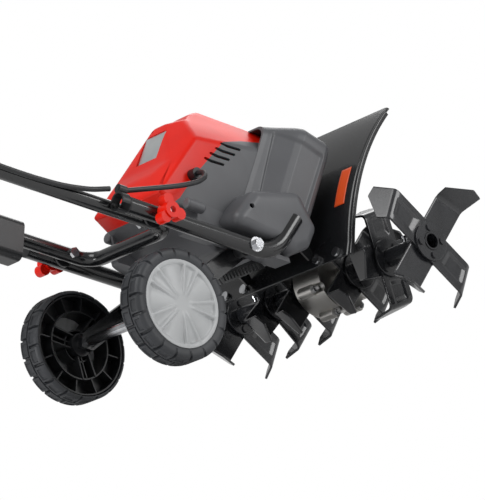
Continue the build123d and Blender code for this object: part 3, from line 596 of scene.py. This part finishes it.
def housing_form(name, wall, material):
    """The outline pushed across, less two roof slopes and two rear quarters, all moved in by a wall."""
    outline = inset(on_drive(HOUSING), wall)
    half = HOUSING_HALF - wall
    form = outward(new_piece(name, *prism(outline, -half, half), None, material))
    for side in (-1, 1):
        cut(form, slab("roof", ROOF, side, wall))
        cut(form, slab("quarter", REAR_QUARTER, side, wall))
    return outward(form)


# %% Shell, louvres, holes and the red part
housing = housing_form("motor_housing_shell", 0.0, grey_abs)
round_edges(housing, EDGE_RADIUS, 4, 12)
print("housing form", len(housing.data.polygons), "faces")
cut(housing, housing_form("hollow", WALL, grey_abs))
print("hollowed", len(housing.data.polygons), "faces")
LOUVRES, LOUVRE_START, LOUVRE_STEP = 4, (-99.5, -9.2), (-5.2, -10.6)
for louvre in range(LOUVRES):
    s0, t0 = (start + step * louvre for start, step in zip(LOUVRE_START, LOUVRE_STEP))
    slot_line = on_drive([(s0, t0 + 0.6), (s0 + 12, t0 + 2.2), (s0 + 30, t0 + 8.2), (s0 + 31, t0 + 12.2),
                          (s0 + 12, t0 + 6.2), (s0 + 2, t0 + 4.2)])
    cut(housing, tool("louvre", *prism(rounded(slot_line, 1.2, 4), -HOUSING_HALF - 6, -HOUSING_HALF + 26)))
for side in (-1, 1):
    screw_at = from_drive((-142, side * 40, -66))
    cut(housing, tool("screw_hole", *disc(screw_at, (-0.9, 0.2 * side, -0.2), 3.4, 26)))
slit_line = rounded(on_drive([(-150, 1), (-150, 4), (-138, 4), (-138, 1)]), 0.5, 3)
window_line = rounded(on_drive([(-170, -47), (-170, -5), (-146.4, -5), (-146.4, -47)]), 1)
cut(housing, tool("slit", *prism(slit_line, 8, 18)))
cut(housing, tool("window", *prism(window_line, -19.5, 19.5)))
red_side = tool("red_side", *prism(on_drive(RED_LINE), -90, 90))
cover = housing.copy()
cover.data = housing.data.copy()
cover.name = cover.data.name = "top_cover_shell"
bpy.context.scene.collection.objects.link(cover)
cut(cover, red_side, "INTERSECT", keep=True)
cut(housing, red_side)
cover.data.materials.clear()
cover.data.materials.append(red_abs)
for piece, node, slot in ((housing, "motor_housing", "grey_plastic"), (cover, "top_cover", "red_plastic")):
    shade(piece, 40)
    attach(piece, "chassis")
    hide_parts(node)
    print(piece.name, len(piece.data.polygons), "faces")


# %% Skirt beside each frame tube
def skirt(side):
    """Hollow foot that leads the housing's side out over the frame tube, a quarter ellipse across."""
    x = np.linspace(72, 206, 40)
    base = 174 - math.tan(TUBE_SLOPE) * (x - 16) + 9
    fade = np.clip((x - 72) / 30, 0, 1) ** 0.5
    rows = []
    for xi, zi, k in zip(x, base, fade):
        phi = np.linspace(0, math.pi / 2, 12)
        out_y = 60 + (26 - 25 * np.sin(phi)) * (0.3 + 0.7 * k)
        up = zi + ((82 - 0.28 * (xi - 120)) * k + 6) * (1 - np.cos(phi))
        edge_y = np.concatenate([[58], out_y[:1], out_y, [57]])
        edge_z = np.concatenate([[zi - 6], [zi - 6], up, up[-1:]])
        rows.append(np.stack([np.full(len(edge_y), xi), side * edge_y, edge_z], 1))
    return loft(rows)


for side_name, side in (("left", 1), ("right", -1)):
    foot = outward(new_piece(f"housing_skirt_{side_name}", *skirt(side), "chassis", grey_abs), 50)
    lug = outward(new_piece(f"housing_lug_{side_name}",
                            *disc((93, side * 76, 181), (0.91, 0, -0.41), 7.0, 26), "chassis", grey_abs))
    bevel(lug, 2.5, 3)
print("skirts and lugs beside the tubes")

# %% Arched front cover
# Half width and top at stations along the drive: the hood flares towards the tines and ends in a rim.
STATIONS = np.array([-46, -40, -30, -8, 0, 33, 38, 42])
HALF_WIDTH = np.array([64.5, 66, 69.5, 81, 84, 85, 84, 80])
TOP = np.array([56, 58.5, 63, 72.5, 75, 76, 74.5, 70])
BOTTOM, HOOD_CORNER = -66.0, 17.0
PANEL_DEPTH, PANEL_RAMP = 2.4, 0.55


def ramp(value, edge):
    """Smooth step from 0 to 1 as the value passes the edge."""
    return 1 / (1 + np.exp(-(value - edge) / PANEL_RAMP))


def hood(wall=0.0):
    """Sections across the drive: two straight sides and a flat top joined by arcs, with sunk side panels.

    With a wall it is the room inside, open at the rear and underneath.
    """
    s = np.linspace(STATIONS[0] - wall, STATIONS[-1] - wall, 120)[:, None]
    half, top = np.interp(s, STATIONS, HALF_WIDTH) - wall, np.interp(s, STATIONS, TOP) - wall
    low = np.linspace(0, 1, 60)
    arc = np.linspace(0, math.pi / 2, 14)[1:]
    flat = np.linspace(0, 1, 16)[1:]
    turn = np.concatenate([np.zeros(60), arc, np.full(15, math.pi / 2)])
    y = np.concatenate([half + 0 * low, half - HOOD_CORNER * (1 - np.cos(arc)),
                        (half - HOOD_CORNER) * (1 - flat)], 1)
    base = BOTTOM - 2 * wall
    straight = top - HOOD_CORNER - base
    t = np.concatenate([base + straight * low, top - HOOD_CORNER * (1 - np.sin(arc)), top + 0 * flat], 1)
    sunk = ramp(s, -31 - 0.06 * t) * ramp(-s, -31 - 0.02 * t) * ramp(-t, -50.0) * ramp(t, -46.0 - 0.3 * s)
    depth = PANEL_DEPTH if wall == 0 else 0.0
    y = y - depth * sunk * np.cos(turn)
    t = t - depth * sunk * np.sin(turn)
    y_all = np.concatenate([-y, y[:, -2::-1]], 1)
    t_all = np.concatenate([t, t[:, -2::-1]], 1)
    x, z = drive_xz(np.broadcast_to(s, t_all.shape), t_all)
    return loft(np.stack([x, y_all, z], -1))


# %% Hood shell and feet
FEET = [(118, 152), (160, 131), (190, 116), (206, 101), (232, 103), (252, 124), (240, 172), (170, 184)]
ROOM_UNDER = [(122, 154), (161, 135), (191, 120), (207, 105), (231, 107), (248, 126), (237, 169), (170, 180)]
SHELL_WALL = 3.0
arch = outward(new_piece("front_cover_shell", *hood(), "chassis", grey_abs))
cut(arch, tool("room", *hood(SHELL_WALL)))
feet = outward(new_piece("front_cover_feet", *pillow(FEET, -103, 103, 12, 12), "chassis", grey_abs))
under = pillow(ROOM_UNDER, -99.5, 99.5, 9, 9)
between = prism(on_drive([(-160, -150), (-160, 60), (-44, 60), (-44, -150)]), -HOUSING_HALF, HOUSING_HALF)
for room in (under, hood(1.0), between):
    cut(feet, tool("room", *room))
print("feet", len(feet.data.polygons), "faces")
slope = np.array([math.cos(TUBE_SLOPE), 0, -math.sin(TUBE_SLOPE)])
for side in (-1, 1):
    cut(feet, tool("tube_room", *disc((140, side * 97.0, 119), slope, 12, 260)))
    cut(feet, tool("screw_hole", *disc((157, side * 92, 165), (0, 1, 0), 3.2, 40)))
for piece in (arch, feet):
    shade(piece, 42)
    print(piece.name, len(piece.data.polygons), "faces")
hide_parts("front_cover")

# %% Blank plate in the rear window
glass = outward(new_piece("window_pane", *pillow(on_drive([(-148.2, -46.5), (-148.2, -5.5), (-145.8, -5.5),
                          (-145.8, -46.5)]), -19, 19, 0.5, 0.5), "chassis", silver_plate))
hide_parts("rear_window")
print("window pane")

# %% Motor's end plates inside the housing
# The drive plate stands between motor and gears, and two pillars join it to the rear bridge. Both are
# plain plates here: they have no bearing bores, so the shafts run through them.
bridge_parts = [prism(rounded(on_drive([(-24, -88), (-24, 34), (-12, 34), (-12, -88)]), 1.5), -53, 53),
                prism(rounded(on_drive([(-139, -41), (-139, -13), (-132, -13), (-132, -41)]), 1.5), -34, 34)]
along_drive = from_drive((1, 0, 0)) - from_drive((0, 0, 0))
bridge_parts += [disc(from_drive((-78, side * 31, -27)), along_drive, 4.0, 108) for side in (-1, 1)]
plates = outward(new_piece("motor_end_plates", *join(bridge_parts), "chassis", cast_alloy))
bevel(plates, 0.8, 2)
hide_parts("motor_frame")
print("motor end plates")

# %% [markdown]
# ## Tine stars
# Six stars turn on one axle, and each is two flat steel straps crossed at the hub and riveted between
# collars. A press bends both ends of a strap sideways about a slanted line. A bent sheet keeps its
# lengths, so each arm is drawn flat, as a grid, and rolled about that line: the part before the line stays
# flat, the next few millimetres follow an arc, and the rest goes on straight at the bend's angle.

# %% One strap arm rolled about its bend line
STRAP, ARM_HALF, PRESS_RADIUS = 3.0, 19.8, 7.0
OUTER_BEND, NEAR_BEND = (62.4, 72.2, 62.0), (56.0, 60.5, 80.0)
TIP_LONG, TIP_SHORT = 34.0, 22.0
HUB_RADIUS, COLLAR_RADIUS, ACROSS = 11.0, 24.0, 25


def bank(value):
    """Smooth rise from 0 to 1 as the value goes from 0 to 1."""
    value = np.clip(value, 0, 1)
    return value ** 2 * (3 - 2 * value)


def arm_surface(turn, y_plane, lean, bend, length, ribbed):
    """Grid of an arm: rows run outwards, columns across; turn is the arm's angle about the axle."""
    trailing, leading, degrees = bend
    angle = math.radians(degrees)
    length = length - PRESS_RADIUS * (2 * math.tan(angle / 2) - angle)
    bend_line = np.array([trailing - leading, 2 * ARM_HALF])
    half_line = np.linalg.norm(bend_line) / 2
    along_line = bend_line / np.linalg.norm(bend_line)
    away = np.array([along_line[1], -along_line[0]])
    middle = np.array([(trailing + leading) / 2, 0.0])
    y_start = np.linspace(-ARM_HALF, ARM_HALF, ACROSS)
    start = np.stack([np.sqrt(np.maximum(HUB_RADIUS ** 2 - y_start ** 2, 0) + 1.5 ** 2), y_start], 1)
    fold = middle + np.linspace(-half_line, half_line, ACROSS)[:, None] * along_line
    # Along the line d and away from it e: the tip's top edge has a low corner, a peak and a shoulder.
    across = np.linspace(0, 1, ACROSS)
    d_top = np.interp(across, [0, 0.28, 1], [-half_line - 3.5, -10, half_line])
    e_top = np.interp(across, [0, 0.28, 1], [0.88 * length, length, 0.44 * length])
    top = middle + d_top[:, None] * along_line + e_top[:, None] * away
    out = np.concatenate([np.linspace(0, 1, 24)[:, None, None] * (fold - start) + start,
                          np.linspace(0, 1, 30)[1:, None, None] * (top - fold) + fold])
    d, e = (out - middle) @ along_line, (out - middle) @ away
    start_arc = -PRESS_RADIUS * math.tan(angle / 2)
    phi = np.clip((e - start_arc) / PRESS_RADIUS, 0, angle)
    past = np.maximum(e - start_arc - PRESS_RADIUS * angle, 0)
    flat = np.minimum(e, start_arc)
    e_bent = flat + PRESS_RADIUS * np.sin(phi) + past * math.cos(angle)
    height = PRESS_RADIUS * (1 - np.cos(phi)) + past * math.sin(angle)
    rolled = middle + d[..., None] * along_line + e_bent[..., None] * away
    if ribbed:
        side_bank = bank((11.5 - np.abs(out[..., 1])) / 2.2)
        height = height + 1.3 * side_bank * bank((out[..., 0] - 27) / 6) * bank((-3 - e) / 6)
    radial, sideways = rolled[..., 0], rolled[..., 1]
    c, s = math.cos(math.radians(turn)), math.sin(math.radians(turn))
    x = TINE_X + radial * c - sideways * s
    z = TINE_Z + radial * s + sideways * c
    y = y_plane - lean * height
    return np.stack([x, y, z], -1).reshape(-1, 3), grid_faces(out.shape[0], ACROSS)


# %% Six stars of crossed straps between collars
STAR_PLANES = (48.0, 104.0, 177.0)
STAR_TURNS = {-1: (37.0, 0.0, 37.0), 1: (37.0, 31.0, 37.0)}


def star(name, side, number):
    """One star: four arms with their sheet thickness in one mesh, two thin collars in another."""
    y_mid, first = side * STAR_PLANES[number], STAR_TURNS[side][number]
    arms = []
    for strap, first_arm in enumerate((first, first + 90)):
        lean = -1 if strap else 1
        bend = OUTER_BEND if number == 2 else NEAR_BEND
        length = TIP_SHORT if number == 0 and lean == side else TIP_LONG
        for half_turn in (0, 180):
            arms.append(arm_surface(first_arm + half_turn, y_mid + lean * STRAP / 2, lean, bend, length,
                                    strap == 1))
    piece = new_piece(name, *join(arms), "tines", tine_paint)
    solidify(piece, STRAP, 0.0)
    bevel(piece, 0.45, 2, 50)
    bake(piece)
    collars = [ring(COLLAR_RADIUS, HUB_RADIUS, y_mid + face * STRAP, y_mid + face * 2 * STRAP, 64,
                    (TINE_X, TINE_Z)) for face in (-1, 1)]
    collar_pair = outward(new_piece(name + "_collars", *join(collars), "tines", tine_paint))
    bevel(collar_pair, 0.5, 2)
    shade(piece, 38)
    return piece


for number, label in enumerate(("inner", "middle", "outer")):
    for side_name, side in (("left", 1), ("right", -1)):
        made = star(f"tine_star_{label}_{side_name}", side, number)
        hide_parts(f"tine_stars_{label}")
print("six stars of four arms")

# %% [markdown]
# ## Tine guard
# One curved sheet of glossy black plastic stands over the tines: a low flange, a crease, then a curve that
# leans forward. It is a profile pushed across, so one grid holds it. Both ends get a pressed groove and a
# raised rim that rolls over towards the tines, and the two upper corners are rounded off.

# %% Guard sheet and its blank label
GUARD_LINE = [(271, 98), (290, 137), (309, 167), (334, 200), (365, 226), (401, 252)]
FLANGE_FOOT = (263.0, 84.0)
GUARD_HALF, GUARD_SHEET, CORNER = 130.0, 2.5, 14.0


def guard_curve(distance):
    """X, Z and the unit normal on the handle's side, this far along the flange and the smoothed curve."""
    points = np.array(GUARD_LINE, float)
    reach = np.concatenate([[0], np.cumsum(np.linalg.norm(np.diff(points, axis=0), axis=1))])
    fits = [np.polyfit(reach, column, 3) for column in points.T]
    start = np.array([np.polyval(fit, 0.0) for fit in fits])
    flange = np.linalg.norm(start - FLANGE_FOOT)
    past = np.maximum(distance - flange, 0)
    share = np.clip(distance / flange, 0, 1)[..., None]
    curve = np.stack([np.polyval(fit, past) for fit in fits], -1)
    place_xz = np.where(distance[..., None] < flange, FLANGE_FOOT + share * (start - FLANGE_FOOT), curve)
    slope = np.stack([np.polyval(np.polyder(fit), past) for fit in fits], -1)
    slope = np.where(distance[..., None] < flange, (start - FLANGE_FOOT) / flange, slope)
    slope /= np.linalg.norm(slope, axis=-1, keepdims=True)
    return place_xz, np.stack([-slope[..., 1], slope[..., 0]], -1), flange + reach[-1]


def guard_points(distance, y, lift):
    """Points of the guard's face, lifted off it towards the handle."""
    xz, normal, _ = guard_curve(distance)
    xz = xz + normal * lift[..., None]
    return np.stack([xz[..., 0], y, xz[..., 1]], -1)


def guard_sheet():
    """Grid with a groove and a raised rim near both ends, and a rolled edge past them."""
    length = guard_curve(np.zeros(1))[2]
    half = np.concatenate([np.linspace(0, 116, 30), np.linspace(117, GUARD_HALF - 0.5, 28)])
    y = np.concatenate([-half[:0:-1], half])
    y = np.concatenate([np.full(5, -GUARD_HALF), y, np.full(5, GUARD_HALF)])
    curl = np.concatenate([np.linspace(6.0, 0.6, 5), np.zeros(len(y) - 10), np.linspace(0.6, 6.0, 5)])
    rim = 1.5 / (1 + np.exp(-(np.abs(y) - 126.0) / 0.45)) - 1.1 * np.exp(-((np.abs(y) - 123.6) / 1.2) ** 2)
    over = np.clip(np.abs(y) - (GUARD_HALF - CORNER), 0, CORNER)
    top = length - (CORNER - np.sqrt(CORNER ** 2 - over ** 2))
    distance = np.linspace(0, 1, 90)[:, None] * top
    lift = np.broadcast_to(np.where(np.abs(y) < GUARD_HALF - 12, 0.0, rim - curl), distance.shape)
    points = guard_points(distance, np.broadcast_to(y, distance.shape), lift)
    return points.reshape(-1, 3), [face[::-1] for face in grid_faces(90, len(y))]


shield = new_piece("tine_guard_sheet", *guard_sheet(), "chassis", guard_pp, 40)
solidify(shield, GUARD_SHEET)
bake(shield)
shade(shield, 40)
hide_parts("guard")
label_distance = np.linspace(70, 122, 20)[:, None] * np.ones((1, 8))
label_y = np.broadcast_to(np.linspace(-111, -93, 8), (20, 8))
label_points = guard_points(label_distance, label_y, np.full((20, 8), 0.45)).reshape(-1, 3)
label = new_piece("blank_orange_label", label_points, [face[::-1] for face in grid_faces(20, 8)],
                  "chassis", orange_film)
solidify(label, 0.3)
print(shield.name, len(shield.data.polygons), "faces")

# %% [markdown]
# ## Studio
# A wide pale floor and big soft lights. The camera stands low behind the machine's right side and a
# little below it, leaning, with a long lens. The floor is clear from underneath so that such a low
# camera sees the machine and not the floor's back.

# %% Floor, world and lights
floor_material, tree, shader = base_material("pale_studio_floor")
shader.inputs["Base Color"].default_value = linear("#F2F2F2")
shader.inputs["Roughness"].default_value = 0.9
facing = add_node(tree, "ShaderNodeNewGeometry").outputs["Backfacing"]
clear = add_node(tree, "ShaderNodeBsdfTransparent").outputs["BSDF"]
mixed = add_node(tree, "ShaderNodeMixShader", {0: facing, 1: shader.outputs["BSDF"], 2: clear})
tree.links.new(mixed.outputs["Shader"], tree.nodes["Material Output"].inputs["Surface"])
FLOOR_HALF = 6.0
floor_mesh = bpy.data.meshes.new("floor")
corners = [(-1, -1), (1, -1), (1, 1), (-1, 1)]
floor_mesh.from_pydata([(FLOOR_HALF * x, FLOOR_HALF * y, -0.0005) for x, y in corners], [], [(0, 1, 2, 3)])
floor_mesh.materials.append(floor_material)
floor = bpy.data.objects.new("floor", floor_mesh)
bpy.context.scene.collection.objects.link(floor)

world = bpy.data.worlds.new("white_room")
bpy.context.scene.world = world
world.use_nodes = True
world.node_tree.nodes["Background"].inputs["Color"].default_value = (1, 1, 1, 1)
room_light = world.node_tree.nodes["Background"]
room_light.inputs["Strength"].default_value = 0.40
backdrop = add_node(world.node_tree, "ShaderNodeBackground", Color=(1, 1, 1, 1), Strength=1.0)
seen = add_node(world.node_tree, "ShaderNodeLightPath").outputs["Is Camera Ray"]
both = add_node(world.node_tree, "ShaderNodeMixShader",
                {0: seen, 1: room_light.outputs["Background"], 2: backdrop.outputs["Background"]})
world.node_tree.links.new(both.outputs["Shader"], world.node_tree.nodes["World Output"].inputs["Surface"])
bpy.context.scene.view_settings.view_transform = "Standard"


def soft_light(name, azimuth, elevation, distance, size, power):
    """Square area light that looks at the machine's middle from an azimuth and elevation in degrees."""
    lamp = bpy.data.lights.new(name, "AREA")
    lamp.shape, lamp.size, lamp.energy = "SQUARE", size, power
    thing = bpy.data.objects.new(name, lamp)
    bpy.context.scene.collection.objects.link(thing)
    a, e = math.radians(azimuth), math.radians(elevation)
    back = np.array([math.sin(a) * math.cos(e), -math.cos(a) * math.cos(e), math.sin(e)])
    thing.location = back * distance + np.array([0.2, 0.0, 0.15])
    thing.rotation_euler = look_angles(back)
    return thing


def look_angles(back, lean=0.0):
    """Turn of a camera or lamp whose back points along a direction, leaning about its own view axis."""
    turn = Vector(back).to_track_quat("Z", "Y").to_matrix()
    return (turn @ Matrix.Rotation(math.radians(lean), 3, "Z")).to_euler()


soft_light("key_above", -70, 58, 2.6, 1.6, 30)
soft_light("fill_right", 30, 18, 3.2, 1.4, 30)
soft_light("strip_behind", -100, 8, 3.0, 0.9, 26)
soft_light("rim_front", 120, 35, 2.8, 1.4, 14)

# %% Camera
VIEW_AZIMUTH, VIEW_ELEVATION, VIEW_LEAN = -43.07, -5.9, 16.38
DISTANCE, LENS = 4.5, 272.9
a, e, r = (math.radians(v) for v in (VIEW_AZIMUTH, VIEW_ELEVATION, VIEW_LEAN))
back = np.array([math.sin(a) * math.cos(e), -math.cos(a) * math.cos(e), math.sin(e)])
level = np.array([math.cos(a), math.sin(a), 0.0])
upward = np.cross(back, level)
right = level * math.cos(r) - upward * math.sin(r)
up = level * math.sin(r) + upward * math.cos(r)
aim = np.array(tine_axis) - 0.1087 * right + 0.0376 * up
camera_data = bpy.data.cameras.new("camera")
camera_data.sensor_fit, camera_data.sensor_width, camera_data.lens = "HORIZONTAL", 36.0, LENS
camera_data.clip_end = 50
camera = bpy.data.objects.new("camera", camera_data)
bpy.context.scene.collection.objects.link(camera)
camera.location = aim + DISTANCE * back
camera.rotation_euler = Matrix([list(right), list(up), list(back)]).transposed().to_euler()
bpy.context.scene.camera = camera
